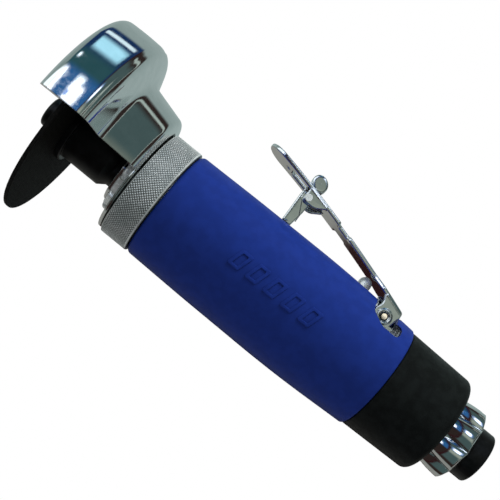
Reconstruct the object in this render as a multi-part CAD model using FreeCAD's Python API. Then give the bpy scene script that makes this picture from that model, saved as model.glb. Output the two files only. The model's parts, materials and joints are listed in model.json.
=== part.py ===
"""Straight air cut-off tool with a 75 mm wheel, built as its separate pieces.

Frame: +X runs along the spindle axis from the air inlet to the wheel, +Z is up,
towards the throttle lever. The origin is the centre of the inlet's mouth.
Lengths are in millimetres and angles in degrees.
"""
import FreeCAD
import Part
import math
import os

# ---- driving dimensions: stations along X ------------------------------------
INLET_HEAD_END = 6.2
EXHAUST_RING = (6.4, 18.1)
REAR_CAP = (18.4, 45.9)
BOSS_START = 22.0
THREAD_START = 38.0
SLEEVE = (46.0, 143.0)
NOTCH = (52.4, 63.4)
NOTCH_POCKET = 51.2     # rear end of the pocket under the notch's rear wall
VALVE_X = 69.7
WEB_FRONT = 78.0
REAR_PLATE = (78.4, 84.0)
CYLINDER = (84.0, 130.3)
FRONT_BEARING = (141.0, 146.0)
HOUSING_FRONT = 147.0
CLAMP_NUT = (143.2, 154.5)
GUARD_PLATE = (154.9, 156.3)
LOCK_RING = (156.6, 159.8)
ARBOR = (161.2, 184.0)
WHEEL = (184.0, 185.5)
WASHER_FRONT = 188.2
WASHER_R = 9.0
SCREW_FRONT = 195.2

# ---- driving dimensions: radii -----------------------------------------------
WHEEL_R = 35.8
WHEEL_BORE_R = 4.7625
HOUSING_R = 19.4
NUT_R = 21.6
NUT_THREAD_R = 18.4
CAP_THREAD_R = 16.0
MOTOR_BORE_R = 16.6
CYLINDER_R = 16.5
CHAMBER_R = 13.4
CHAMBER_OFFSET = 1.2
ROTOR_R = 12.0
SPINDLE_R = 5.0
REAR_SHAFT_R = 4.0
INLET_THREAD_R = 5.72
INLET_THREAD_LENGTH = 11.0
INLET_HEAD_R = 9.8
INLET_NECK_R = 9.0
INLET_TAIL_R = 7.0
AIR_BORE_R = 4.5
NOSE_R = 12.0
HOOD_R = 42.1
HOOD_FRONT = 193.7
HOOD_SWEEP = 183         # degrees round the wheel, even about the top
HOOD_WALL = 3.0
NECK_REAR_R = 25.9
RUNNING = 0.06          # radial running clearance
PLAY = 0.3              # gap between pieces that move past each other

# ---- driving dimensions: valve, lever and catch --------------------------------
VALVE_BORE_R = 5.2
VALVE_BORE_FLOOR = -7.8
VALVE_SEAT_Z = 5.0
PLUNGER_R = 2.5
PLUNGER_TOP = 25.7
LEVER_PIVOT = (58.0, 17.3)
LEVER_PIN_R = 1.25
LEVER_HALF = 6.2
LEVER_WALL = 1.6
LEVER_DROP = 1.6        # height of the lever's plate, top to underside
WAIST_HALF = 3.5
LEVER_TOP = ((53.3, 22.3), (90.0, 33.75), (126.9, 41.9))
RIB_HALF = 4.25
CATCH_PIVOT = (104.8, 33.3)
CATCH_PIN_R = 0.9
CATCH_HALF = 4.2
CATCH_WALL = 1.1
CATCH_TIP_Z = 21.6
TAB_HALF = 2.5
LANDING = (91.5, 109.5, 4.6)  # window in the sleeve: start, end, half width

FULL = 360
V = FreeCAD.Vector
ORIGIN = V(0, 0, 0)
X_AXIS = V(1, 0, 0)
Y_AXIS = V(0, 1, 0)
Z_AXIS = V(0, 0, 1)
FAR = 100.0             # longer than any cut has to reach


# ---- shapes ----------------------------------------------------------------------
def in_side_view(a, b):
    """(a, b) is (x, z), in the plane of symmetry."""
    return V(a, 0, b)


def in_plan_view(a, b):
    """(a, b) is (x, y)."""
    return V(a, b, 0)


def wire(corners, place=in_side_view):
    """Closed wire through corners (a, b) or (a, b, radius of its rounding)."""
    points = [place(*corner[:2]) for corner in corners]
    count = len(points)
    arcs = []
    for i, corner in enumerate(corners):
        here = points[i]
        radius = corner[2] if len(corner) > 2 else 0
        if not radius:
            arcs.append((here, None, here))
            continue
        back = (points[i - 1] - here).normalize()
        ahead = (points[(i + 1) % count] - here).normalize()
        half = back.getAngle(ahead) / 2
        inward = (back + ahead).normalize()
        middle = here + inward * (radius / math.sin(half) - radius)
        reach = radius / math.tan(half)
        arcs.append((here + back * reach, middle, here + ahead * reach))
    edges = []
    for i, (start, middle, end) in enumerate(arcs):
        if middle:
            edges.append(Part.Arc(start, middle, end).toShape())
        following = arcs[(i + 1) % count][0]
        if end.distanceToPoint(following) > 1e-6:
            edges.append(Part.makeLine(end, following))
    return Part.Wire(edges)


def turned(corners, angle=FULL):
    """Solid of revolution about the spindle axis from an (x, radius) outline.

    With an angle of 180 the outline starts at +Y and sweeps over the top.
    """
    place = in_side_view if angle == FULL else in_plan_view
    return Part.Face(wire(corners, place)).revolve(ORIGIN, X_AXIS, angle)


def slab(corners, half_width):
    """Side-view outline, as thick as its half width each way from y = 0."""
    face = Part.Face(wire(corners))
    face.translate(V(0, -half_width, 0))
    return face.extrude(V(0, 2 * half_width, 0))


def plank(corners, low, high):
    """Plan-view outline from z = low to z = high."""
    face = Part.Face(wire(corners, in_plan_view))
    face.translate(V(0, 0, low))
    return face.extrude(V(0, 0, high - low))


def block(x, y, z):
    """Box from (low, high) pairs."""
    size = [high - low for low, high in (x, y, z)]
    return Part.makeBox(*size, V(x[0], y[0], z[0]))


def rod(span, radius, y=0, z=0):
    """Cylinder along X."""
    return Part.makeCylinder(radius, span[1] - span[0], V(span[0], y, z), X_AXIS)


def bar(at, radius, half_length):
    """Cylinder along Y through (x, z), centred on y = 0."""
    start = V(at[0], -half_length, at[1])
    return Part.makeCylinder(radius, 2 * half_length, start, Y_AXIS)


def post(x, low, high, radius):
    """Cylinder along Z on the plane of symmetry."""
    return Part.makeCylinder(radius, high - low, V(x, 0, low), Z_AXIS)


def tube(span, inner, outer):
    return rod(span, outer).cut(rod(span, inner))


def around(shape, count, first=0):
    """The shape repeated about the spindle axis."""
    copies = []
    for i in range(count):
        copy = shape.copy()
        copy.rotate(ORIGIN, X_AXIS, first + FULL * i / count)
        copies.append(copy)
    return copies


def both_sides(shape):
    """The shape and its mirror image across y = 0."""
    return [shape, shape.mirror(ORIGIN, Y_AXIS)]


def cheeks(corners, inner, outer):
    """The same side-view plate on each side, between two distances from y = 0."""
    face = Part.Face(wire(corners))
    face.translate(V(0, inner, 0))
    return both_sides(face.extrude(V(0, outer - inner, 0)))


def o_ring(x, outer_radius, section):
    """O-ring about the spindle axis; section is its cord's radius."""
    return Part.makeTorus(outer_radius - section, section, V(x, 0, 0), X_AXIS)


# ---- bearings ----------------------------------------------------------------------
def bearing(span, bore, outside, balls):
    """Inner ring, outer ring and balls of a deep-groove bearing."""
    depth = outside - bore
    pitch = (bore + outside) / 2
    ball_r = 0.27 * depth
    ring = 0.3 * depth
    middle = sum(span) / 2
    track = Part.makeTorus(pitch, ball_r + RUNNING, V(middle, 0, 0), X_AXIS)
    inner = tube(span, bore, bore + ring).cut(track)
    outer = tube(span, outside - ring, outside).cut(track)
    ball = Part.makeSphere(ball_r, V(middle, 0, pitch))
    return inner, outer, Part.makeCompound(around(ball, balls))


# ---- housing group -------------------------------------------------------------------
def lever_notch(grow=0):
    """Space cut across the top for the lever's two ears."""
    start, end = NOTCH[0] - grow, NOTCH[1] + grow
    floor, ledge, pocket = 12.4 - grow, 17.6 + grow, NOTCH_POCKET - grow
    return slab([(start, FAR), (start, ledge), (pocket, ledge, 1.5),
                 (pocket, floor, 1.5), (58.0, floor, 4), (end, 15.6 - grow, 2.5),
                 (end, FAR)], FAR)


def motor_housing():
    front = HOUSING_FRONT
    body = turned([(BOSS_START, INLET_TAIL_R), (BOSS_START, 11.5, 0.5),
                   (THREAD_START, 11.5), (THREAD_START, CAP_THREAD_R),
                   (SLEEVE[0], CAP_THREAD_R), (SLEEVE[0], HOUSING_R),
                   (SLEEVE[1], HOUSING_R), (SLEEVE[1], NUT_THREAD_R),
                   (front, NUT_THREAD_R), (front, MOTOR_BORE_R),
                   (WEB_FRONT, MOTOR_BORE_R), (WEB_FRONT, 0),
                   (THREAD_START, 0), (THREAD_START, INLET_TAIL_R)])
    rib = block((NOTCH_POCKET, NOTCH[1]), (-RIB_HALF, RIB_HALF), (0, FAR))
    air_bore = rod((THREAD_START, VALVE_X), AIR_BORE_R)
    valve_bore = post(VALVE_X, VALVE_BORE_FLOOR, FAR, VALVE_BORE_R)
    supply = rod((VALVE_X, WEB_FRONT), 2.0, z=9.0)
    exhaust = around(rod((THREAD_START, WEB_FRONT), 2.0, y=13.2), 10, first=18)[5:]
    pin_hole = bar(LEVER_PIVOT, LEVER_PIN_R, FAR)
    cuts = [lever_notch().cut(rib), air_bore, valve_bore, supply, pin_hole,
            catch_landing(18.8)]
    return body.cut(cuts + exhaust)


def catch_landing(bottom):
    """Window on top, where the catch's tip swings back."""
    start, end, half = LANDING
    return plank([(start, -half, 2), (end, -half, 2), (end, half, 2),
                  (start, half, 2)], bottom, FAR)


def grip_sleeve():
    start, end = SLEEVE
    body = turned([(start, HOUSING_R), (start, 20.6, 1.0), (76, 22.2, 500),
                   (118, 21.9, 900), (end, 21.4, 1.2), (end, HOUSING_R)])
    hollow = rod((start, end), HOUSING_R)
    plunger_hole = post(VALVE_X, 10, FAR, PLUNGER_R + 0.7)
    return body.cut([lever_notch(grow=0.2), catch_landing(10), plunger_hole, hollow])


def clamp_nut():
    rear, front = CLAMP_NUT
    lip = front - 3.3
    return turned([(rear, NUT_THREAD_R), (rear, NUT_R, 0.5), (front - 0.9, NUT_R),
                   (front, NUT_R - 0.9), (front, 15.0), (lip, 15.0),
                   (lip, NUT_THREAD_R)])


def dowel_hole():
    return rod((REAR_PLATE[0], CYLINDER[1] + 5), 1.0, z=14.4)


def exhaust_gutter(half_width, top):
    """Passage along the motor's underside, from the cylinder's ports to the rear."""
    return block((WEB_FRONT, 125), (-half_width, half_width), (-FAR, top))


def front_plate():
    start = CYLINDER[1]
    bearing_rear, bearing_r = FRONT_BEARING[0], 9.5
    body = turned([(start, SPINDLE_R + PLAY), (start, CYLINDER_R),
                   (HOUSING_FRONT, CYLINDER_R), (HOUSING_FRONT, 18.3),
                   (151.1, 18.3), (151.1, 14.9), (154.6, 14.9), (154.6, NOSE_R),
                   (160.9, NOSE_R, 0.4), (160.9, bearing_r), (bearing_rear, bearing_r),
                   (bearing_rear, SPINDLE_R + PLAY)])
    groove = tube((143.3, 144.7), CYLINDER_R - 1.3, CYLINDER_R)
    return body.cut([groove, dowel_hole()])


def rear_plate():
    rear, front = REAR_PLATE
    body = turned([(rear, 8.0), (rear, CYLINDER_R), (front, CYLINDER_R),
                   (front, REAR_SHAFT_R + PLAY), (83.0, REAR_SHAFT_R + PLAY),
                   (83.0, 8.0)])
    supply = rod(REAR_PLATE, 1.8, z=10.6)
    return body.cut([dowel_hole(), exhaust_gutter(10, -9.5), supply])


def rear_gasket():
    ring = tube((WEB_FRONT, REAR_PLATE[0]), 12.8, CYLINDER_R)
    return ring.cut(exhaust_gutter(10, -9.5))


def cylinder():
    body = rod(CYLINDER, CYLINDER_R)
    chamber = rod(CYLINDER, CHAMBER_R, z=-CHAMBER_OFFSET)
    ports = [post(x, -20, -10, 1.5) for x in range(95, 121, 6)]
    return body.cut([chamber, dowel_hole(), exhaust_gutter(5, -15.2)] + ports)


def dowels():
    spans = ((81.0, 88.0), (126.5, 134.0))
    return Part.makeCompound([rod(span, 1.0, z=14.4) for span in spans])


# ---- rotor group -----------------------------------------------------------------------
VANES = 5
SLOT_FLOOR = 5.6
ROTOR_SPAN = (CYLINDER[0] + 0.25, CYLINDER[1] - 0.25)


def rotor():
    span = ROTOR_SPAN
    body = turned([(78.7, 0), (78.7, REAR_SHAFT_R, 0.4), (span[0], REAR_SHAFT_R),
                   (span[0], ROTOR_R), (span[1], ROTOR_R), (span[1], SPINDLE_R),
                   (172, SPINDLE_R), (172, 0)])
    slot = block(span, (-0.8, 0.8), (SLOT_FLOOR, 15))
    return body.cut(around(slot, VANES, first=36))


def vane(index):
    inset = 0.05
    span = (ROTOR_SPAN[0] + inset, ROTOR_SPAN[1] - inset)
    blade = block(span, (-0.8 + inset, 0.8 - inset), (SLOT_FLOOR + 0.2, 15))
    blade = blade.common(rod(span, ROTOR_R + 0.05))
    return around(blade, VANES, first=36)[index]


def arbor_flange():
    rear, front = ARBOR
    hollow_end = 172.2
    body = turned([(rear, SPINDLE_R), (rear, 8.0, 0.4), (163.4, 8.0), (166.2, 10.0),
                   (front - 2.4, 10.0), (front - 2.4, 11.8, 0.4), (front, 11.8),
                   (front, 4.75), (front + 1.3, 4.75), (front + 1.3, 3.0),
                   (hollow_end, 3.0), (hollow_end, SPINDLE_R)])
    flat = block((rear - 1, 163.4), (7.0, 12), (-12, 12))
    return body.cut(both_sides(flat))


def cutting_disc():
    rear, front = WHEEL
    return turned([(rear, WHEEL_BORE_R), (rear, WHEEL_R, 0.3),
                   (front, WHEEL_R, 0.3), (front, WHEEL_BORE_R)])


def front_washer():
    return turned([(WHEEL[1], 3.05), (WHEEL[1], WASHER_R, 0.3),
                   (WASHER_FRONT, WASHER_R, 0.8), (WASHER_FRONT, 3.05)])


def arbor_screw():
    body = turned([(176, 0), (176, 3.0, 0.5), (WASHER_FRONT, 3.0),
                   (WASHER_FRONT, 5.9), (SCREW_FRONT, 5.9, 1.2), (SCREW_FRONT, 0)])
    corners = [(2.9 * math.cos(math.radians(60 * i)), 2.9 * math.sin(math.radians(60 * i)))
               for i in range(6)]
    rim = [V(SCREW_FRONT - 3.2, y, z) for y, z in corners]
    socket = Part.Face(Part.makePolygon(rim + rim[:1])).extrude(V(5, 0, 0))
    return body.cut(socket)


# ---- inlet and exhaust group -----------------------------------------------------------
def rear_cap():
    rear, front = REAR_CAP
    wall = BOSS_START - PLAY
    body = turned([(rear, INLET_NECK_R + 0.1), (rear, 19.3, 2.6), (front, 20.1, 0.7),
                   (front, CAP_THREAD_R), (THREAD_START, CAP_THREAD_R),
                   (THREAD_START, 16.6), (wall, 16.6), (wall, INLET_NECK_R + 0.1)])
    return body.cut(around(rod((rear, wall), 1.1, z=11.0), 10))


def muffler_felt():
    return tube((BOSS_START, THREAD_START - 0.4), 11.7, 16.4)


def inlet_bushing():
    end = THREAD_START
    shoulder = BOSS_START - 0.1
    bore = INLET_THREAD_LENGTH
    body = turned([(0, INLET_THREAD_R), (0, INLET_HEAD_R, 0.8),
                   (INLET_HEAD_END, INLET_HEAD_R), (INLET_HEAD_END, INLET_NECK_R),
                   (shoulder, INLET_NECK_R), (shoulder, INLET_TAIL_R),
                   (end, INLET_TAIL_R), (end, AIR_BORE_R), (bore + 1.2, AIR_BORE_R),
                   (bore + 1.2, 5.2), (bore, 5.2), (bore, INLET_THREAD_R)])
    return body.cut(tube((34.3, 35.7), 5.8, INLET_TAIL_R))


def inlet_screen():
    span = (INLET_THREAD_LENGTH + 0.2, INLET_THREAD_LENGTH + 1.2)
    holes = []
    for ring, count in ((1.5, 6), (3.2, 12)):
        holes += around(rod(span, 0.5, z=ring), count)
    return rod(span, 5.15).cut(holes + [rod(span, 0.5)])


PETALS = 8


def exhaust_ring():
    rear, front = EXHAUST_RING
    floor = rear + 2.2
    envelope = turned([(rear, INLET_NECK_R + RUNNING), (rear, 10.6), (8.4, 14.2, 1.0),
                       (9.6, 15.0, 1.0), (front, 15.0), (front, 11.2),
                       (floor, 11.2), (floor, INLET_NECK_R + RUNNING)])
    petal = Part.makeCone(6.7, 5.1, front - rear, V(rear, 0, 8.3), X_AXIS)
    petals = around(petal, PETALS, first=9)
    flower = petals[0].fuse(petals[1:]).fuse(rod(EXHAUST_RING, 12.0))
    vents = around(rod((rear, floor), 0.6, z=10.1), PETALS)
    return envelope.common(flower).cut(vents)


# ---- throttle valve ---------------------------------------------------------------------
def valve_bushing():
    top = 18.5
    body = post(VALVE_X, VALVE_SEAT_Z, top, VALVE_BORE_R)
    guide = post(VALVE_X, VALVE_SEAT_Z, top, PLUNGER_R + RUNNING)
    chamber = post(VALVE_X, VALVE_SEAT_Z, 11.5, PLUNGER_R + 0.9)
    port = rod((VALVE_X - 6, VALVE_X + 6), 1.6, z=9.0)
    groove = post(VALVE_X, 14.4, 15.6, PLUNGER_R + 1.2)
    return body.cut([guide, chamber, port, groove])


def valve_o_ring():
    middle = PLUNGER_R + 0.1 + 0.5
    return Part.makeTorus(middle, 0.5, V(VALVE_X, 0, 15.0), Z_AXIS)


def valve_plunger():
    ball_z = PLUNGER_TOP - PLUNGER_R
    stem = post(VALVE_X, 2.2, ball_z, PLUNGER_R)
    dome = Part.makeSphere(PLUNGER_R, V(VALVE_X, 0, ball_z))
    head = post(VALVE_X, 2.2, 4.4, 3.9)
    return stem.fuse([dome, head])


def valve_washer():
    seal = post(VALVE_X, 4.4, VALVE_SEAT_Z - 0.05, 3.9)
    return seal.cut(post(VALVE_X, 4, 6, PLUNGER_R))


def valve_spring():
    low, high, wire_r = VALVE_BORE_FLOOR + 0.45, 1.75, 0.4
    coil_r, turns = 3.0, 5
    helix = Part.makeHelix((high - low) / turns, high - low, coil_r)
    end = Part.Wire(Part.makeCircle(wire_r, V(coil_r, 0, 0), Y_AXIS))
    spring = Part.Wire(helix).makePipeShell([end], True, True)
    spring.translate(V(VALVE_X, 0, low))
    return spring


# ---- lever and catch ----------------------------------------------------------------------
def lever_strip(half_width):
    """The lever's bowed plate in side view, as a strip of one width."""
    top = [V(x, -half_width, z) for x, z in LEVER_TOP]
    low = [point - V(0, 0, LEVER_DROP) for point in top]
    edges = [Part.Arc(*top).toShape(), Part.makeLine(top[2], low[2]),
             Part.Arc(*reversed(low)).toShape(), Part.makeLine(low[0], top[0])]
    return Part.Face(Part.Wire(edges)).extrude(V(0, 2 * half_width, 0))


def throttle_lever():
    rear, front = LEVER_TOP[0][0], LEVER_TOP[2][0]
    half = LEVER_HALF
    strip = lever_strip(half)
    edge = [(rear, half, 1), (64.0, half, 3), (69.0, 5.0, 3), (84.3, 5.0, 0.8),
            (84.9, WAIST_HALF, 0.6), (89.6, WAIST_HALF, 0.6), (90.2, half, 0.8),
            (front, half, half - 0.01)]
    far_edge = [(x, -y, radius) for x, y, radius in edge]
    outline = plank(edge + far_edge[::-1], 0, FAR)
    slot = plank([(100.5, -3, 2), (114.9, -3, 1.2), (114.9, 3, 1.2), (100.5, 3, 2)], 0, FAR)
    plate = strip.common(outline).cut([slot, post(116.9, 0, FAR, 0.8)])
    inner = half - LEVER_WALL
    ears = cheeks([(63.1, 25.0), (61.2, 20.9, 2.4), (62.9, 17.3, 2.4),
                   (60.4, 14.0, 2.6), (52.5, 14.0, 1.2), (53.3, 21.5)], inner, half)
    wings = cheeks([(96.5, 34.2), (106.3, 36.6), (106.3, 31.3, 1.6),
                    (101.0, 31.4, 4)], inner, half)
    bosses = bar(LEVER_PIVOT, 2.9, half + 0.3).cut(bar(LEVER_PIVOT, 4, inner + 0.5))
    body = plate.fuse(ears + wings + [bosses])
    return body.cut([bar(LEVER_PIVOT, LEVER_PIN_R + RUNNING, FAR),
                     bar(CATCH_PIVOT, CATCH_PIN_R, FAR)])


def lever_pin():
    half = LEVER_HALF + 0.2
    return bar(LEVER_PIVOT, LEVER_PIN_R, half).cut(bar(LEVER_PIVOT, 0.65, half))


def safety_catch():
    tip = CATCH_TIP_Z
    front_top, front_low = 108.0, 107.3
    sides = cheeks([(103.2, 34.5, 1.2), (front_top, 35.0, 0.8), (front_low, tip, 1.2),
                    (103.9, tip, 0.8), (103.0, 28.0, 6)], CATCH_HALF - CATCH_WALL, CATCH_HALF)
    web = slab([(front_top - 0.9, 35.0), (front_top, 35.0, 0.4), (front_low, tip, 0.4),
                (front_low - 0.9, tip)], CATCH_HALF)
    pad = bar((104.6, 40.8), 3.1, TAB_HALF)
    neck = slab([(107.1, 33.5), (front_top, 33.5), (107.5, 40.5), (104.2, 40.5),
                 (104.6, 36.5, 1.5)], TAB_HALF)
    body = web.fuse(sides + [pad, neck])
    return body.cut(bar(CATCH_PIVOT, CATCH_PIN_R + RUNNING, FAR))


def catch_pin():
    shank = bar(CATCH_PIVOT, CATCH_PIN_R, LEVER_HALF + 0.3)
    head = bar(CATCH_PIVOT, 1.35, LEVER_HALF + 0.4).cut(bar(CATCH_PIVOT, 2, LEVER_HALF))
    return shank.fuse(head)


def catch_spring():
    """Torsion spring on the catch's pin, with the leg that stays under the lever."""
    wire_r, coil_r, turns, pitch = 0.22, 1.3, 4.25, 0.6
    length = turns * pitch
    helix = Part.makeHelix(pitch, length, coil_r)
    end = Part.Wire(Part.makeCircle(wire_r, V(coil_r, 0, 0), Y_AXIS))
    coil = Part.Wire(helix).makePipeShell([end], True, True)
    coil.rotate(ORIGIN, X_AXIS, -90)
    coil.translate(V(CATCH_PIVOT[0], -length / 2, CATCH_PIVOT[1]))
    x, z = CATCH_PIVOT
    root, reach = V(x - 0.06, length / 2, z - coil_r), V(-7.6, 0, 1.2)
    leg = Part.makeCylinder(wire_r, reach.Length, root, reach)
    return Part.makeCompound([coil, leg])


def catch_spring_leg():
    """The same spring's other leg, which lies on the catch's cheek and goes with it."""
    wire_r, y = 0.16, CATCH_HALF + 0.18
    corners = [V(106.2, y, 31.6), V(103.3, y, 26.2), V(103.2, y, 23.9)]
    parts = [Part.makeSphere(wire_r + 0.03, corner) for corner in corners]
    for start, end in zip(corners, corners[1:]):
        run = end - start
        parts.append(Part.makeCylinder(wire_r, run.Length, start, run))
    return parts[0].fuse(parts[1:])


# ---- guard group ----------------------------------------------------------------------------
def hood_outline(inset):
    """(x, radius) corners of the guard's outer skin, moved in by inset."""
    shoulder = 174.9 + 0.72 * inset
    neck = (170.7 + 0.78 * inset, 29.9 - 0.82 * inset)
    return [(HOOD_FRONT, HOOD_R - inset, max(2.8 - inset, 0)),
            (shoulder, HOOD_R - inset, 5.2 - inset), (*neck, 1.0 + inset),
            (156.0 + inset, NECK_REAR_R - inset, max(2.8 - inset, 0.5))]


def wheel_guard():
    rear, front = GUARD_PLATE
    outer = hood_outline(0)
    inner = hood_outline(HOOD_WALL)
    skin = turned(outer + [(rear, 22.4, 0.3), (rear, 19.0), (front, 19.0),
                           (front, inner[3][1] - 2)] + inner[::-1], HOOD_SWEEP)
    skin.rotate(ORIGIN, X_AXIS, (180 - HOOD_SWEEP) / 2)
    plate = turned([(rear, NOSE_R + RUNNING), (rear, 20.6, 0.4), (front, 20.6, 0.4),
                    (front, NOSE_R + RUNNING)])
    return skin.fuse(plate)


def guard_lock_ring():
    rear, front = LOCK_RING
    body = turned([(rear, NOSE_R), (rear, 15.2, 0.5), (front, 15.2, 0.6), (front, NOSE_R)])
    return body.cut(around(rod(LOCK_RING, 1.5, z=16.0), 12))


def main():
    rear_inner, rear_outer, rear_balls = bearing((78.8, 82.8), REAR_SHAFT_R, 8.0, 9)
    front_inner, front_outer, front_balls = bearing(FRONT_BEARING, SPINDLE_R, 9.5, 11)
    pieces = {
        "motor_housing": motor_housing(),
        "grip_sleeve": grip_sleeve(),
        "clamp_nut": clamp_nut(),
        "front_plate": front_plate(),
        "front_o_ring": o_ring(144.0, CYLINDER_R + 0.05, 0.6),
        "front_bearing_outer": front_outer,
        "front_bearing_inner": front_inner,
        "front_bearing_balls": front_balls,
        "bearing_retainer": tube((146.1, 147.1), 7.6, 9.5),
        "shaft_seal": tube((150.0, 153.0), SPINDLE_R + RUNNING, 9.5),
        "cylinder": cylinder(),
        "cylinder_dowels": dowels(),
        "rear_plate": rear_plate(),
        "rear_gasket": rear_gasket(),
        "rear_bearing_outer": rear_outer,
        "rear_bearing_inner": rear_inner,
        "rear_bearing_balls": rear_balls,
        "rotor": rotor(),
        "arbor_flange": arbor_flange(),
        "cutting_disc": cutting_disc(),
        "front_washer": front_washer(),
        "arbor_screw": arbor_screw(),
        "rear_cap": rear_cap(),
        "muffler_felt": muffler_felt(),
        "inlet_bushing": inlet_bushing(),
        "inlet_o_ring": o_ring(35.0, INLET_TAIL_R, 0.6),
        "inlet_screen": inlet_screen(),
        "exhaust_ring": exhaust_ring(),
        "valve_bushing": valve_bushing(),
        "valve_o_ring": valve_o_ring(),
        "valve_plunger": valve_plunger(),
        "valve_washer": valve_washer(),
        "valve_spring": valve_spring(),
        "throttle_lever": throttle_lever(),
        "lever_pin": lever_pin(),
        "safety_catch": safety_catch(),
        "catch_pin": catch_pin(),
        "catch_spring": catch_spring(),
        "catch_spring_leg": catch_spring_leg(),
        "wheel_guard": wheel_guard(),
        "guard_lock_ring": guard_lock_ring(),
    }
    for i in range(VANES):
        pieces[f"vane_{i + 1}"] = vane(i)
    os.makedirs("parts", exist_ok=True)
    for name, shape in pieces.items():
        if not shape.isValid():
            print("not valid:", name)
        shape.exportStep(f"parts/{name}.step")


main()
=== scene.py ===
import bpy
import bmesh
import json
import math
import random
from mathutils import Matrix, Vector
from mathutils.geometry import tessellate_polygon


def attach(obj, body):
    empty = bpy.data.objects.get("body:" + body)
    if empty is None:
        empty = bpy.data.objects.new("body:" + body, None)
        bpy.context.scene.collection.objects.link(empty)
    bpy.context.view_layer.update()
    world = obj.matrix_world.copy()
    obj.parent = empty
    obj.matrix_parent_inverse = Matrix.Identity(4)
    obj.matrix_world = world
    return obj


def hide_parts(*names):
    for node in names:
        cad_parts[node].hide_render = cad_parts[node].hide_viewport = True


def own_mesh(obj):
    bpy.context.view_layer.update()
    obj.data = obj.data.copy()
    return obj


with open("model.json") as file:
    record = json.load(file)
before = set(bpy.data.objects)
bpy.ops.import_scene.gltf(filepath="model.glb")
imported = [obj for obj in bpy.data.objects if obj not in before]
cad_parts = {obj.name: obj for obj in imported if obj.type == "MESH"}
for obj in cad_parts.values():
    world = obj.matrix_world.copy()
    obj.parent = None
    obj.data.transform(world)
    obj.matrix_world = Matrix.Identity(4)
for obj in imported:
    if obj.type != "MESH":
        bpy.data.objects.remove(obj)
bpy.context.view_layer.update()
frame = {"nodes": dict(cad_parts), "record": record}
MM = 0.001
VALVE_X = 69.7


# ---- node helpers ---------------------------------------------------------------
class Nodes:
    """Short ways to add and link nodes in one node tree."""

    def __init__(self, tree, keep=False):
        self.tree = tree
        if not keep:
            tree.nodes.clear()

    def add(self, kind, inputs=None, **settings):
        node = self.tree.nodes.new(kind)
        for name, value in settings.items():
            setattr(node, name, value)
        for key, value in (inputs or {}).items():
            if isinstance(value, bpy.types.NodeSocket):
                self.tree.links.new(value, node.inputs[key])
            else:
                node.inputs[key].default_value = value
        return node

    def math(self, operation, *values):
        return self.add("ShaderNodeMath", dict(enumerate(values)),
                        operation=operation).outputs[0]

    def ramp(self, value, low, high, to_low=0.0, to_high=1.0):
        """Smooth step of a value between low and high."""
        return self.add("ShaderNodeMapRange",
                        {"Value": value, "From Min": low, "From Max": high,
                         "To Min": to_low, "To Max": to_high},
                        interpolation_type="SMOOTHSTEP").outputs["Result"]

    def mix(self, factor, a, b):
        node = self.add("ShaderNodeMix", data_type="RGBA")
        for socket, value in ((node.inputs[0], factor), (node.inputs[6], a),
                              (node.inputs[7], b)):
            if isinstance(value, bpy.types.NodeSocket):
                self.tree.links.new(value, socket)
            elif socket.type == "RGBA":
                socket.default_value = (*value, 1)
            else:
                socket.default_value = value
        return node.outputs[2]

    def noise(self, where, scale, detail=4.0):
        return self.add("ShaderNodeTexNoise",
                        {"Vector": where, "Scale": scale, "Detail": detail,
                         "Roughness": 0.55}).outputs["Fac"]


def stretched(nodes, scale):
    """Row-frame position in metres, stretched by a factor along each axis."""
    where = nodes.add("ShaderNodeTexCoord").outputs["Object"]
    return nodes.add("ShaderNodeMapping", {"Vector": where, "Scale": scale}).outputs[0]


def surface(name, light, dark, metallic=0.0, roughness=(0.3, 0.5), cloud=300.0,
            grain=3000.0, grain_height=0.00001, stretch=(1, 1, 1), edge=0.0,
            specular=0.5, wear=None, painted_recess_shade=None):
    """Procedural finish: two colours in clouds, uneven roughness and a fine grain.

    Edge is the radius in metres that softens hard edges. Wear is a colour for specks.
    The last argument, (radius, radius, colour), is painted shade: a darker colour, full
    nearer the tool's axis than the first radius and gone by the second, for shade in
    recesses.
    """
    material = bpy.data.materials.new(name)
    material.use_nodes = True
    nodes = Nodes(material.node_tree)
    where = stretched(nodes, stretch)
    clouds = nodes.noise(where, cloud)
    fine = nodes.noise(where, grain, detail=2.0)
    colour = nodes.mix(nodes.ramp(clouds, 0.35, 0.65), dark, light)
    if wear:
        colour = nodes.mix(nodes.ramp(fine, 0.62, 0.74), colour, wear)
    # Painted shade: a darker colour close to the tool's axis, standing in for shade in
    # recesses.
    if painted_recess_shade:
        low, high, shade_colour = painted_recess_shade
        across = nodes.add("ShaderNodeVectorMath", {0: stretched(nodes, (0, 1, 1))},
                           operation="LENGTH").outputs["Value"]
        colour = nodes.mix(nodes.ramp(across, low, high), shade_colour, colour)
    rough = nodes.ramp(nodes.noise(where, cloud * 2.7), 0.3, 0.7, *roughness)
    bump_inputs = {"Height": fine, "Strength": 1.0, "Distance": grain_height}
    if edge:
        bump_inputs["Normal"] = nodes.add("ShaderNodeBevel", {"Radius": edge},
                                          samples=4).outputs[0]
    normal = nodes.add("ShaderNodeBump", bump_inputs).outputs[0]
    shader = nodes.add("ShaderNodeBsdfPrincipled",
                       {"Base Color": colour, "Metallic": metallic, "Roughness": rough,
                        "Normal": normal, "Specular IOR Level": specular})
    nodes.add("ShaderNodeOutputMaterial", {"Surface": shader.outputs[0]})
    return material


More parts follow.
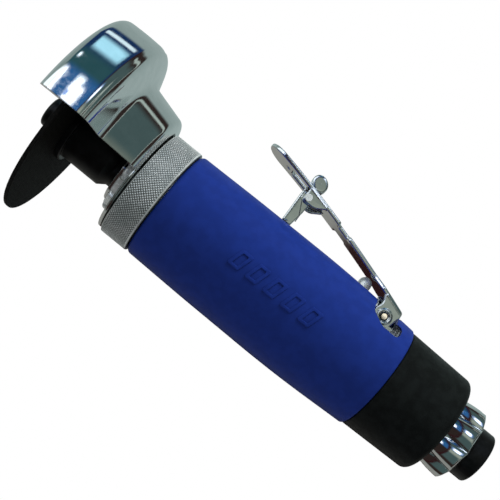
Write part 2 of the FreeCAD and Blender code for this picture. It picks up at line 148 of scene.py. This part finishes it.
FINISHES = {
    "chrome": surface("polished_chrome", (0.80, 0.82, 0.82), (0.74, 0.77, 0.77), 1.0,
                      (0.03, 0.09), 220, 900, 0.000004, edge=0.0005),
    "knurled_steel": surface("knurled_steel", (0.74, 0.78, 0.77), (0.56, 0.61, 0.60), 0.6,
                             (0.24, 0.34), 160, 4000, 0.00001,
                             # painted shade: darker below 21.32 mm from the axis, in the
                             # knurl's grooves and on the nut's shoulders, flange and bore
                             painted_recess_shade=(0.02132, 0.02150, (0.10, 0.115, 0.11))),
    "zinc_steel": surface("zinc_plate", (0.80, 0.84, 0.82), (0.66, 0.71, 0.69), 0.45,
                          (0.18, 0.30), 300, 2500, 0.00001),
    "blue_grip": surface("blue_grip", (0.0075, 0.0225, 0.155), (0.0065, 0.0195, 0.135), 0.0,
                         (0.38, 0.46), 260, 2600, 0.00002, specular=0.05),
    "black_composite": surface("black_composite", (0.0060, 0.0078, 0.0075),
                               (0.0040, 0.0050, 0.0048), 0.0, (0.38, 0.52), 250, 2600,
                               0.00003, edge=0.0004, specular=0.08),
    "black_steel": surface("black_oxide", (0.0040, 0.0045, 0.0050), (0.002, 0.002, 0.002),
                           0.0, (0.28, 0.42), 400, 2500, 0.00001, edge=0.0003,
                           specular=0.25),
    "abrasive": surface("abrasive_wheel", (0.0060, 0.0060, 0.0050),
                        (0.0030, 0.0030, 0.0030), 0.0, (0.6, 0.85), 900, 2300, 0.0001,
                        specular=0.1, wear=(0.022, 0.020, 0.015)),
    "housing_aluminium": surface("housing_aluminium", (0.62, 0.63, 0.62),
                                 (0.45, 0.46, 0.46), 1.0, (0.25, 0.4), 300, 3000,
                                 0.00001, stretch=(1, 4, 4), edge=0.0002),
    "bearing_steel": surface("bearing_steel", (0.78, 0.79, 0.79), (0.7, 0.71, 0.71), 1.0,
                             (0.08, 0.14), 300, 3000, 0.000002),
    "spring_steel": surface("spring_steel", (0.22, 0.22, 0.22), (0.12, 0.12, 0.12), 1.0,
                            (0.25, 0.4), 500, 3000, 0.00001),
    "brass": surface("pale_brass", (0.95, 0.88, 0.68), (0.88, 0.78, 0.55), 0.25,
                     (0.25, 0.4), 400, 3000, 0.00001),
    "seal_rubber": surface("seal_rubber", (0.02, 0.02, 0.02), (0.01, 0.01, 0.01), 0.0,
                           (0.5, 0.7), 300, 2000, 0.00002),
    "felt": surface("muffler_felt", (0.42, 0.40, 0.35), (0.28, 0.27, 0.24), 0.0,
                    (0.9, 1.0), 500, 1800, 0.0003),
    "vane_composite": surface("vane_laminate", (0.24, 0.13, 0.07), (0.16, 0.08, 0.04),
                              0.0, (0.45, 0.6), 600, 3000, 0.00003, stretch=(1, 1, 8)),
}
for part in frame["record"]["subparts"]:
    node = frame["nodes"][part["node"]]
    finish = FINISHES[part["material_slot"]]
    for i in range(len(node.data.materials)):
        node.data.materials[i] = finish


# ---- outlines --------------------------------------------------------------------
def rounded(corners, steps=6):
    """Closed outline through corners (a, b) or (a, b, radius of its rounding), in mm."""
    points = []
    for i, corner in enumerate(corners):
        here = Vector(corner[:2])
        radius = corner[2] if len(corner) > 2 else 0
        if not radius:
            points.append(here)
            continue
        back = (Vector(corners[i - 1][:2]) - here).normalized()
        ahead = (Vector(corners[(i + 1) % len(corners)][:2]) - here).normalized()
        half = back.angle(ahead) / 2
        centre = here + (back + ahead).normalized() * radius / math.sin(half)
        first = here + back * radius / math.tan(half) - centre
        turn = math.pi - 2 * half
        if back.cross(ahead) > 0:
            turn = -turn
        for k in range(steps + 1):
            spin = Matrix.Rotation(turn * k / steps, 2)
            points.append(centre + spin @ first)
    return points


def resampled(points, longest):
    """The closed outline with every run split into steps no longer than this."""
    result = []
    for i, start in enumerate(points):
        end = points[(i + 1) % len(points)]
        count = max(1, math.ceil((end - start).length / longest))
        result += [start.lerp(end, k / count) for k in range(count)]
    return result


def inset(points, amount):
    """The closed outline moved to its left by an amount."""
    result = []
    for i, here in enumerate(points):
        back = (here - points[i - 1]).normalized()
        ahead = (points[(i + 1) % len(points)] - here).normalized()
        left = Vector((-back.y - ahead.y, back.x + ahead.x)).normalized()
        cosine = max(0.5, left.dot(Vector((-ahead.y, ahead.x))))
        result.append(here + left * amount / cosine)
    return result


def circle(a, b, radius, count=24):
    return [Vector((a + radius * math.cos(math.tau * i / count),
                    b + radius * math.sin(math.tau * i / count))) for i in range(count)]


def counterclockwise(points):
    area = sum(points[i - 1].cross(points[i]) for i in range(len(points)))
    return points if area > 0 else points[::-1]


# ---- solids ------------------------------------------------------------------------
def piece(name, bm, body, slot, replaces=(), sharp=35, flat=False):
    """Turns a bmesh in mm into a piece in metres that rides on a body."""
    bmesh.ops.remove_doubles(bm, verts=bm.verts, dist=0.0005)
    bmesh.ops.recalc_face_normals(bm, faces=bm.faces)
    bmesh.ops.scale(bm, vec=(MM, MM, MM), verts=bm.verts)
    mesh = bpy.data.meshes.new(name)
    bm.to_mesh(mesh)
    bm.free()
    for polygon in mesh.polygons:
        polygon.use_smooth = True
    mesh.set_sharp_from_angle(angle=math.radians(sharp))
    mesh.materials.append(FINISHES[slot])
    obj = bpy.data.objects.new(name, mesh)
    bpy.context.scene.collection.objects.link(obj)
    if flat:
        even = obj.modifiers.new("flat faces", "WEIGHTED_NORMAL")
        even.keep_sharp, even.weight = True, 90
    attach(obj, body)
    if replaces:
        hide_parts(*replaces)
    return obj


def around_x(x, radius, angle):
    return Vector((x, radius * math.cos(angle), radius * math.sin(angle)))


def lathe(outline, steps=192, turn=360, reshape=None, bm=None, place=around_x):
    """Solid of revolution of a closed (x, radius) outline. Reshape gives the radius."""
    bm = bm or bmesh.new()
    whole = turn == 360
    rows = []
    for i in range(steps if whole else steps + 1):
        angle = math.radians(turn) * i / steps
        rows.append([bm.verts.new(place(x, reshape(x, r, angle) if reshape else r, angle))
                     for x, r in outline])
    count = len(outline)
    for i in range(steps):
        here, ahead = rows[i], rows[(i + 1) % len(rows)]
        for j in range(count):
            k = (j + 1) % count
            bm.faces.new((here[j], here[k], ahead[k], ahead[j]))
    if not whole:
        bm.faces.new(rows[0])
        bm.faces.new(rows[-1])
    return bm


def sheet_metal(loops, low, high, rounding, place, bm=None, cuts=()):
    """Plate with rounded edges: the first loop is its outline, the others are holes.

    Each loop is (a, b) points. The plate fills low to high across them, and cuts are
    the stations along a where it may bend when place puts it in space.
    """
    flat = bmesh.new()
    steps = 4  # along a quarter of each rounded edge
    for number, loop in enumerate(loops):
        loop = counterclockwise(loop)
        if number:
            loop = loop[::-1]
        rings = []
        for side in (-1, 1):
            for k in range(steps + 1):
                angle = math.pi / 2 * (k if side < 0 else steps - k) / steps
                shift = rounding * (1 - math.sin(angle))
                depth = rounding * (1 - math.cos(angle))
                level = low + depth if side < 0 else high - depth
                rings.append([flat.verts.new((p.x, p.y, level))
                              for p in inset(loop, shift)])
        for under, over in zip(rings, rings[1:]):
            for i in range(len(loop)):
                k = (i + 1) % len(loop)
                flat.faces.new((under[i], under[k], over[k], over[i]))
        loops[number] = (rings[0], rings[-1])
    for side in (0, 1):
        rings = [pair[side] for pair in loops]
        corners = [vert for ring in rings for vert in ring]
        for triangle in tessellate_polygon([[v.co for v in ring] for ring in rings]):
            flat.faces.new([corners[i] for i in triangle])
    for station in cuts:
        everything = flat.verts[:] + flat.edges[:] + flat.faces[:]
        bmesh.ops.bisect_plane(flat, geom=everything, plane_co=(station, 0, 0),
                               plane_no=(1, 0, 0))
    bm = bm or bmesh.new()
    moved = {vert: bm.verts.new(place(*vert.co)) for vert in flat.verts}
    for face in flat.faces:
        bm.faces.new([moved[vert] for vert in face.verts])
    flat.free()
    return bm


def upright(a, b, t):
    """(a, b) is (x, z), and the plate's thickness is along y."""
    return Vector((a, t, b))


def lying(a, b, t):
    """(a, b) is (x, y), and the plate's thickness is along z."""
    return Vector((a, b, t))


# ---- guard ---------------------------------------------------------------------------
HOOD_R, HOOD_FRONT, HOOD_WALL = 42.1, 193.7, 3.0
HOOD_SWEEP = 183  # degrees round the wheel, even about the top
NOSE_R = 12.0
PLATE_REAR, PLATE_FRONT = 154.9, 156.3


def hood_skin(depth):
    """Open (x, radius) outline of the hood and neck, at a depth under the surface."""
    shoulder = 174.9 + 0.72 * depth
    neck = (170.7 + 0.78 * depth, 29.9 - 0.82 * depth)
    return [(HOOD_FRONT, HOOD_R - depth, max(2.8 - depth, 0.4)),
            (shoulder, HOOD_R - depth, 5.2 - depth), (*neck, 3.5 + depth),
            (156.0 + depth, 25.9 - depth, max(2.8 - depth, 0.5))]


def guard():
    inner = hood_skin(HOOD_WALL)
    foot = [(PLATE_REAR, 22.4, 0.3), (PLATE_REAR, 19.0), (PLATE_FRONT, 19.0),
            (PLATE_FRONT, inner[3][1] - 2)]
    outline = rounded(hood_skin(0) + foot + inner[::-1], 10)
    middle, reach, crown = 184.6, 9.0, 0.35

    def crowned(x, radius, angle):
        """The hood's outer band bulges slightly between its edges."""
        if radius < 35 or x < middle - reach:
            return radius
        return radius - crown * ((x - middle) / reach) ** 2

    bm = lathe(resampled(outline, 1.2), 160, HOOD_SWEEP, crowned)
    bmesh.ops.rotate(bm, cent=(0, 0, 0), verts=bm.verts,
                     matrix=Matrix.Rotation(math.radians(180 - HOOD_SWEEP) / 2, 3, "X"))
    piece("guard_hood", bm, "guard", "chrome", ["wheel_guard"], sharp=50)
    plate = rounded([(PLATE_REAR, NOSE_R + 0.06), (PLATE_REAR, 20.6, 0.5),
                     (PLATE_FRONT, 20.6, 0.5), (PLATE_FRONT, NOSE_R + 0.06)])
    piece("guard_collar", lathe(plate), "guard", "chrome")


# ---- turned pieces ---------------------------------------------------------------------
def knurled_nut():
    rear, front, lip, nut_r, thread_r = 143.2, 154.5, 151.2, 21.6, 18.4
    start, end, teeth, pitch, depth = 143.9, 153.9, 120, 1.15, 0.3
    outline = rounded([(rear, thread_r), (rear, 21.3, 0.3), (143.6, 21.5, 0.1),
                       (start, nut_r), (end, nut_r), (154.1, 21.5, 0.2),
                       (front, 20.9, 0.3), (front, 15.0), (lip, 15.0), (lip, thread_r)])

    def knurl(x, radius, angle):
        """Two crossed sets of V grooves."""
        if radius < nut_r - 0.01 or not start < x < end:
            return radius
        ridges = [abs((teeth * angle / math.tau + sign * x / pitch) % 1 - 0.5) * 2
                  for sign in (-1, 1)]
        return radius - depth * (1 - min(ridges))

    points = []
    for a, b in zip(outline, outline[1:] + outline[:1]):
        count = 62 if abs(a.x - start) < 0.01 and abs(b.x - end) < 0.01 else 1
        points += [a.lerp(b, k / count) for k in range(count)]
    bm = lathe(points, 6 * teeth, reshape=knurl)
    piece("knurled_nut", bm, "tool_body", "knurled_steel", ["clamp_nut"], sharp=60)


def exhaust_petals():
    rear, front, floor, bore_r, shell_r, ring_r = 6.4, 18.1, 8.6, 9.06, 11.2, 15.0
    outline = rounded([(rear, bore_r), (rear, 10.6, 0.3), (8.4, 14.2, 1.0),
                       (9.6, ring_r, 1.0), (front, ring_r, 0.6), (front, shell_r),
                       (floor, shell_r), (floor, bore_r)])

    def lobed(x, radius, angle):
        """Eight round petals with sharp valleys, crowned along the tool's axis."""
        if radius < shell_r + 0.1:
            return radius
        share = (x - rear) / (front - rear)
        petal = math.tau / 8
        off = (angle - math.radians(12) + petal / 2) % petal - petal / 2
        top = ring_r - 1.3 * share - 0.45 * (2 * share - 1) ** 2
        valley = (1.8 + 1.2 * share) * abs(2 * off / petal) ** 2.2
        return min(radius, max(top - valley, shell_r + 0.3))

    bm = lathe(resampled(outline, 0.5), 320, reshape=lobed)
    piece("exhaust_petals", bm, "exhaust_deflector", "chrome", ["exhaust_ring"], sharp=38)


def lock_ring():
    """Silver ring with rounded spanner notches in front of the guard's plate."""
    rear, front, ring_r = 156.6, 159.4, 15.0
    outline = resampled(rounded([(rear, NOSE_R), (rear, ring_r, 0.7), (front, ring_r, 0.9),
                                 (front, NOSE_R)], 8), 0.6)

    def notched(x, radius, angle):
        """Twelve round bites out of the ring's edge."""
        turn = abs((angle * 12 / math.tau) % 1 - 0.5) * 2
        bite = max(0.0, 1 - turn * 3.2)
        return radius - (1.5 * math.sqrt(bite) if radius > 13.4 else 0)

    piece("lock_ring", lathe(outline, 288, reshape=notched), "tool_body", "zinc_steel",
          ["guard_lock_ring"], sharp=50)


def valve_coil():
    """Valve spring: ground helix at one fixed length, though the real one flattens as the
    valve opens.
    """
    coil_r, wire_r, turns, low, high = 3.0, 0.4, 5, -7.35, 1.75
    steps, round_steps = 200, 10
    bm = bmesh.new()
    rings = []
    for i in range(steps + 1):
        turn = math.tau * turns * i / steps
        out = Vector((math.cos(turn), math.sin(turn), 0))
        middle = Vector((VALVE_X, 0, low + (high - low) * i / steps)) + out * coil_r
        rings.append([bm.verts.new(middle + out * p.x + Vector((0, 0, p.y)))
                      for p in circle(0, 0, wire_r, round_steps)])
    for here, ahead in zip(rings, rings[1:]):
        for j in range(round_steps):
            k = (j + 1) % round_steps
            bm.faces.new((here[j], here[k], ahead[k], ahead[j]))
    bm.faces.new(rings[0])
    bm.faces.new(rings[-1])
    coil = piece("valve_coil", bm, "tool_body", "spring_steel", ["valve_spring"], sharp=60)
    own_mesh(coil)


# ---- lever and catch -----------------------------------------------------------------
LEVER_TOP = ((53.3, 22.3), (90.0, 33.75), (126.9, 41.9))
LEVER_PIVOT = (58.0, 17.3)
LEVER_HALF = 6.2


def arc_through(points):
    """Height of the circle through three points, as a function of a."""
    (x1, z1), (x2, z2), (x3, z3) = points
    d = 2 * (x1 * (z2 - z3) + x2 * (z3 - z1) + x3 * (z1 - z2))
    s1, s2, s3 = x1 ** 2 + z1 ** 2, x2 ** 2 + z2 ** 2, x3 ** 2 + z3 ** 2
    cx = (s1 * (z2 - z3) + s2 * (z3 - z1) + s3 * (z1 - z2)) / d
    cz = (s1 * (x3 - x2) + s2 * (x1 - x3) + s3 * (x2 - x1)) / d
    r = math.hypot(x1 - cx, z1 - cz)
    return lambda x: cz + math.sqrt(r ** 2 - (x - cx) ** 2)


def around_pivot(y, radius, angle):
    """Place for a lathe that turns about the lever's pivot."""
    return Vector((LEVER_PIVOT[0] + radius * math.cos(angle), y,
                   LEVER_PIVOT[1] + radius * math.sin(angle)))


def lever():
    """Bent strip with two ears on the pivot and two wings that hold the catch's pin."""
    height = arc_through(LEVER_TOP)
    half, wall, drop = LEVER_HALF, 1.6, 1.6
    edge = [(53.3, half, 1), (64.0, half, 3), (69.0, 5.0, 3), (84.3, 5.0, 0.8),
            (84.9, 3.5, 0.6), (89.6, 3.5, 0.6), (90.2, half, 0.8),
            (126.9, half, half - 0.1)]
    outline = rounded(edge + [(x, -y, r) for x, y, r in edge[::-1]], 8)
    slot = rounded([(100.5, -3, 2), (114.9, -3, 1.2), (114.9, 3, 1.2), (100.5, 3, 2)])
    bm = sheet_metal([resampled(outline, 2), resampled(slot, 2), circle(116.9, 0, 0.8)],
                     -drop, 0, 0.45, lambda a, b, t: Vector((a, b, height(a) + t)),
                     cuts=range(55, 127, 2))
    ear = [(63.1, 25.0, 0.8), (61.2, 20.9, 2.4), (62.9, 17.3, 2.4), (60.4, 14.0, 2.6),
           (52.5, 14.0, 1.2), (53.3, 21.9, 0.5)]
    wing = [(96.5, 34.4, 0.5), (106.3, 37.0, 0.5), (106.3, 31.3, 1.6), (101.0, 31.4, 4)]
    for side in (-1, 1):
        low, high = sorted((side * (half - wall), side * half))
        sheet_metal([resampled(rounded(ear, 10), 1), circle(*LEVER_PIVOT, 1.31)], low, high,
                    0.5, upright, bm)
        sheet_metal([rounded(wing)], low, high, 0.4, upright, bm)
        rim = rounded([(half - 0.4, 1.9), (half - 0.4, 2.9), (half + 0.3, 2.7, 0.3),
                       (half + 0.3, 1.9, 0.25)])
        lathe(rim, 48, bm=bm, place=lambda y, r, angle: around_pivot(side * y, r, angle))
    piece("lever_plate", bm, "lever", "chrome", ["throttle_lever"], flat=True)


def catch():
    """Folded strip on the catch's pin: two cheeks, a web, and a neck with a finger pad."""
    wall, half = 1.1, 4.2
    cheek = [(103.2, 34.5, 1.2), (108.0, 35.0, 0.8), (107.3, 21.6, 1.2),
             (103.9, 21.6, 0.8), (103.0, 28.0, 6)]
    web = [(107.0, 35.0, 0.3), (108.0, 35.0, 0.4), (107.3, 21.6, 0.4), (106.4, 21.6, 0.3)]
    neck = [(107.1, 33.5), (108.0, 33.5), (107.5, 40.5, 0.3), (104.2, 40.5, 0.3),
            (104.6, 36.5, 1.5)]
    bm = sheet_metal([rounded(web)], -half, half, 0.5, upright)
    for side in (-1, 1):
        low, high = sorted((side * (half - wall), side * half))
        sheet_metal([resampled(rounded(cheek), 1)], low, high, 0.3, upright, bm)
    sheet_metal([rounded(neck)], -2.2, 2.2, 0.3, upright, bm)
    pad = rounded([(-2.5, 0), (-2.5, 3.1, 0.7), (2.5, 3.1, 0.7), (2.5, 0)])
    pad = [p if p.y > 0 else Vector((p.x, 0.05)) for p in resampled(pad, 0.4)]
    tilt = Matrix.Rotation(math.radians(35), 2)

    def oval(y, r, angle):
        """The pad's long axis leans forward."""
        across = tilt @ Vector((1.1 * r * math.cos(angle), 0.92 * r * math.sin(angle)))
        return Vector((104.6 + across.x, y, 40.8 + across.y))

    lathe(pad, 48, bm=bm, place=oval)
    piece("catch_lever", bm, "catch", "chrome", ["safety_catch"], flat=True)


# ---- wheel and grip --------------------------------------------------------------------
def abrasive_wheel():
    rear, front, rim = 184.0, 185.5, 35.8
    outline = resampled(rounded([(rear, 4.7625), (rear, rim, 0.3), (front, rim, 0.3),
                                 (front, 4.7625)]), 0.5)
    seed = random.Random(3)
    pits = [seed.uniform(0, 0.09) for _ in range(4096)]

    def grit(radius, angle):
        cell = int(radius * 2.1) * 977 + int(angle * 57.3 * radius / 20)
        return pits[cell % len(pits)]

    def worn(x, radius, angle):
        """Grit on the rim."""
        return radius - (grit(radius, angle) if radius > rim - 0.5 else 0)

    def sunk(x, radius, angle):
        """Grit on the faces, over a faint glass-fibre weave."""
        _, y, z = around_x(x, radius, angle)
        weave = 0.05 * (abs(math.sin(y * 1.3)) + abs(math.sin(z * 1.3)))
        sink = (weave + grit(radius, angle)) if 13 < radius < rim - 0.4 else 0
        return Vector((min(max(x, rear + sink), front - sink), y, z))

    bm = lathe(outline, 360, reshape=worn, place=sunk)
    piece("abrasive_wheel", bm, "spindle", "abrasive", ["cutting_disc"], sharp=60)


def grip():
    """Swelling sleeve, cut open for the lever's ears, the plunger and the catch's tip."""
    start, end, inner_r = 46.0, 143.0, 19.4
    outline = rounded([(start, inner_r), (start, 20.6, 1.0), (76, 22.2, 500),
                       (118, 21.9, 900), (end, 21.4, 2.0), (end, inner_r)], 12)
    bm = lathe(resampled(outline, 2.0), 240)
    skin = piece("grip_skin", bm, "tool_body", "blue_grip", ["grip_sleeve"])
    floor, ledge = 12.2, 16.8
    far = 60
    notch = [(53.7, far), (53.7, ledge), (51.0, ledge, 1.5), (51.0, floor, 1.8),
             (58.0, floor, 4), (63.6, 15.4, 2.5), (63.6, far)]
    window = [(91.5, -4.6, 2), (109.5, -4.6, 2), (109.5, 4.6, 2), (91.5, 4.6, 2)]
    ear_room = [(52.2, far), (52.2, 15), (56, 15), (56, far)]
    ear_half = LEVER_HALF + 0.7
    carve(skin, [sheet_metal([rounded(notch)], -far, far, 0.001, upright),
                 sheet_metal([rounded(ear_room)], -ear_half, ear_half, 0.001, upright),
                 sheet_metal([rounded(window)], 10, far, 0.001, lying),
                 sheet_metal([circle(VALVE_X, 0, 3.2)], 10, far, 0.001, lying)])


def carve(obj, cutters):
    """Cuts bmesh solids in mm out of a piece, for good."""
    for bm in cutters:
        bmesh.ops.remove_doubles(bm, verts=bm.verts, dist=0.01)
        bmesh.ops.recalc_face_normals(bm, faces=bm.faces)
        bmesh.ops.scale(bm, vec=(MM, MM, MM), verts=bm.verts)
        mesh = bpy.data.meshes.new("cutter")
        bm.to_mesh(mesh)
        bm.free()
        cutter = bpy.data.objects.new("cutter", mesh)
        bpy.context.scene.collection.objects.link(cutter)
        change = obj.modifiers.new("cut", "BOOLEAN")
        change.operation, change.solver, change.object = "DIFFERENCE", "EXACT", cutter
        bpy.context.view_layer.update()
        graph = bpy.context.evaluated_depsgraph_get()
        result = bpy.data.meshes.new_from_object(obj.evaluated_get(graph))
        obj.modifiers.clear()
        obj.data = result
        bpy.data.objects.remove(cutter)
    for polygon in obj.data.polygons:
        polygon.use_smooth = True
    obj.data.set_sharp_from_angle(angle=math.radians(35))


def grip_bars():
    """Five raised slanted bars in the grip's side, in place of any lettering."""
    pitch, middle_x, half, wall, turn_down, rise, grip_r = 7.5, 94.5, 3.4, 1.1, 1.7, 0.5, 22.0
    for i in range(5):
        x = middle_x + pitch * (i - 2)
        bar = rounded([(x - 1.4, -half, 0.6), (x + 3.4, -half, 0.6),
                       (x + 1.4, half, 0.6), (x - 3.4, half, 0.6)])
        hollow = rounded([(x - 0.5, wall - half, 0.3), (x + 1.8, wall - half, 0.3),
                          (x + 0.5, half - wall, 0.3), (x - 1.8, half - wall, 0.3)])

        def wrapped(a, b, t):
            return around_x(a, grip_r + t, (b - turn_down) / grip_r)

        bm = sheet_metal([resampled(bar, 0.8), resampled(hollow, 0.8)], -0.6, rise, 0.2,
                         wrapped)
        piece(f"grip_bar_{i + 1}", bm, "tool_body", "blue_grip", flat=True)


def rivet_heads():
    """Domed ends of the lever's pin, inside the embossed rings of the ears."""
    dome = [(0, 0.02), (0, 1.25, 0.3), (0.55, 1.0, 0.6), (0.75, 0.02)]
    for side, name in ((1, "near"), (-1, "far")):
        bm = lathe(rounded(dome), 40, place=lambda y, r, angle: around_pivot(
            side * (LEVER_HALF - 0.15 + y), r, angle))
        piece(f"pivot_rivet_{name}", bm, "tool_body", "brass")


guard()
knurled_nut()
exhaust_petals()
lever()
catch()
abrasive_wheel()
grip()
grip_bars()
rivet_heads()
lock_ring()
valve_coil()


# ---- floor ------------------------------------------------------------------------
def pale_floor():
    """Plain floor that fades to the white of the room, and that metal doesn't mirror."""
    mesh = bpy.data.meshes.new("floor")
    half, height = 3.0, -0.17
    mesh.from_pydata([(-half, -half, height), (half, -half, height),
                      (half, half, height), (-half, half, height)], [], [(0, 1, 2, 3)])
    obj = bpy.data.objects.new("floor", mesh)
    bpy.context.scene.collection.objects.link(obj)
    paint = surface("floor_paint", (0.9, 0.9, 0.9), (0.88, 0.88, 0.88), 0.0,
                    (0.8, 0.9), 5, 50, 0.0001)
    nodes = Nodes(paint.node_tree, keep=True)
    where = nodes.add("ShaderNodeTexCoord").outputs["Object"]
    away = nodes.add("ShaderNodeVectorMath", {0: where, 1: (0.1, 0, height)},
                     operation="DISTANCE").outputs["Value"]
    glow = nodes.add("ShaderNodeEmission", {"Color": (1, 1, 1, 1), "Strength": 1.0})
    output = next(n for n in nodes.tree.nodes if n.type == "OUTPUT_MATERIAL")
    plain = output.inputs["Surface"].links[0].from_socket
    both = nodes.add("ShaderNodeMixShader", {0: nodes.ramp(away, 0.12, 0.32), 1: plain,
                                             2: glow.outputs[0]})
    nodes.tree.links.new(both.outputs[0], output.inputs["Surface"])
    mesh.materials.append(paint)
    obj.visible_glossy = False
    obj.visible_diffuse = False


pale_floor()


# ---- light ------------------------------------------------------------------------
def studio_world():
    """Soft white room. Polished metal sees a dim room in front of it, with lit windows.

    Lift is the angle up from +Y, round the tool's axis, and x is along that axis.
    """
    world = bpy.data.worlds.new("studio")
    bpy.context.scene.world = world
    world.use_nodes = True
    nodes = Nodes(world.node_tree)
    direction = nodes.add("ShaderNodeTexCoord").outputs["Generated"]
    x, y, z = nodes.add("ShaderNodeSeparateXYZ", {"Vector": direction}).outputs
    lift = nodes.math("DEGREES", nodes.math("ARCTAN2", z, y))

    def band(value, low, high, soft):
        return nodes.math("MULTIPLY", nodes.ramp(value, low - soft, low + soft),
                          nodes.ramp(value, high - soft, high + soft, 1, 0))

    colour = nodes.mix(nodes.ramp(lift, 60, 180), (0.24, 0.31, 0.30), (0.36, 0.44, 0.43))
    for angle, side, soft_angle, soft_side, paint in (
            ((-200, -100), (-2, 2), 14, 0.1, (0.29, 0.29, 0.27)),
            ((-100, 106), (-0.90, 0.55), 4, 0.05, (0.030, 0.020, 0.018)),
            ((-70, 80), (-0.48, 0.04), 8, 0.03, (0.065, 0.105, 0.105)),
            ((-20, 12), (-0.48, -0.22), 10, 0.02, (0.17, 0.20, 0.17)),
            ((-60, 92), (-0.53, -0.47), 6, 0.012, (0.45, 0.52, 0.48)),
            ((-8, 16), (-0.24, 0.04), 8, 0.03, (0.33, 0.37, 0.32)),
            ((88, 94), (-0.53, -0.15), 1.5, 0.012, (0.42, 0.50, 0.46)),
            ((36, 110), (0.06, 0.60), 3, 0.02, (0.010, 0.035, 0.110)),
            ((34, 64), (0.10, 0.60), 9, 0.02, (0.025, 0.085, 0.100)),
            ((0, 38), (0.06, 0.42), 6, 0.02, (0.03, 0.13, 0.34)),
            ((95, 101), (0.15, 0.33), 1.5, 0.02, (0.85, 1.05, 1.15)),
            ((68, 88), (0.15, 0.31), 5, 0.02, (0.50, 0.95, 1.15)),
            ((6, 26), (0.165, 0.25), 4, 0.012, (2.2, 2.3, 2.5)),
            ((24, 35), (0.20, 0.245), 4, 0.012, (1.8, 2.0, 2.2)),
            ((10, 17), (0.23, 0.25), 2, 0.008, (0.10, 0.30, 0.90)),
            ((2, 34), (0.325, 0.40), 4, 0.012, (2.2, 2.3, 2.5)),
            ((50, 56), (0.33, 0.38), 2, 0.01, (1.4, 1.6, 1.8)),
            ((20, 42), (-0.17, 0.0), 5, 0.03, (0.13, 0.28, 0.62)),
            ((22, 38), (-0.14, -0.03), 5, 0.03, (2.6, 2.8, 3.2)),
            ((-10, 36), (0.41, 0.98), 5, 0.02, (1.3, 1.4, 1.45)),
            ((-100, 106), (0.02, 0.06), 3, 0.012, (0.030, 0.008, 0.010)),
            ((-200, -160), (-0.5, 0.062), 4, 0.012, (0.025, 0.009, 0.010)),
            ((174, 200), (-0.5, 0.5), 2, 0.1, (0.05, 0.05, 0.05))):
        inside = nodes.math("MULTIPLY", band(lift, *angle, soft_angle),
                            band(x, *side, soft_side))
        colour = nodes.mix(inside, colour, paint)
    glossy = nodes.add("ShaderNodeBackground", {"Color": colour, "Strength": 1.0})
    wash = nodes.mix(nodes.ramp(z, -0.9, 0.9), (0.62, 0.62, 0.66), (0.72, 0.72, 0.72))
    soft = nodes.add("ShaderNodeBackground", {"Color": wash, "Strength": 1.0})
    seen = nodes.add("ShaderNodeBackground", {"Color": (1, 1, 1, 1), "Strength": 1.0})
    path = nodes.add("ShaderNodeLightPath")
    light = nodes.add("ShaderNodeMixShader", {0: path.outputs["Is Glossy Ray"],
                                              1: soft.outputs[0], 2: glossy.outputs[0]})
    light = nodes.add("ShaderNodeMixShader", {0: path.outputs["Is Camera Ray"],
                                              1: light.outputs[0], 2: seen.outputs[0]})
    nodes.add("ShaderNodeOutputWorld", {"Surface": light.outputs[0]})


def softbox(name, location, target, size, power):
    data = bpy.data.lights.new(name, "AREA")
    data.shape, data.size, data.energy = "DISK", size, power
    obj = bpy.data.objects.new(name, data)
    bpy.context.scene.collection.objects.link(obj)
    obj.location = location
    aim = Vector(target) - Vector(location)
    obj.rotation_euler = aim.to_track_quat("-Z", "Y").to_euler()
    obj.visible_glossy = False


studio_world()
softbox("key", (0.05, 0.35, 0.75), (0.1, 0, 0), 0.5, 9)


# ---- camera -----------------------------------------------------------------------
def camera():
    tilt, roll = math.radians(-9.0), math.radians(39.28)
    target, distance = Vector((0.10915, 0.0010, 0.00627)), 0.358
    back = Vector((0, math.cos(tilt), math.sin(tilt)))
    upright = Vector((0, -math.sin(tilt), math.cos(tilt)))
    along = Vector((1, 0, 0))
    right = upright * math.sin(roll) - along * math.cos(roll)
    up = upright * math.cos(roll) + along * math.sin(roll)
    data = bpy.data.cameras.new("camera")
    data.sensor_width, data.lens = 36.0, 72.84
    data.clip_start = 0.01
    obj = bpy.data.objects.new("camera", data)
    obj.matrix_world = Matrix((right, up, back)).transposed().to_4x4()
    obj.matrix_world.translation = target + back * distance
    bpy.context.scene.collection.objects.link(obj)
    bpy.context.scene.camera = obj


camera()
bpy.context.scene.view_settings.view_transform = "Standard"
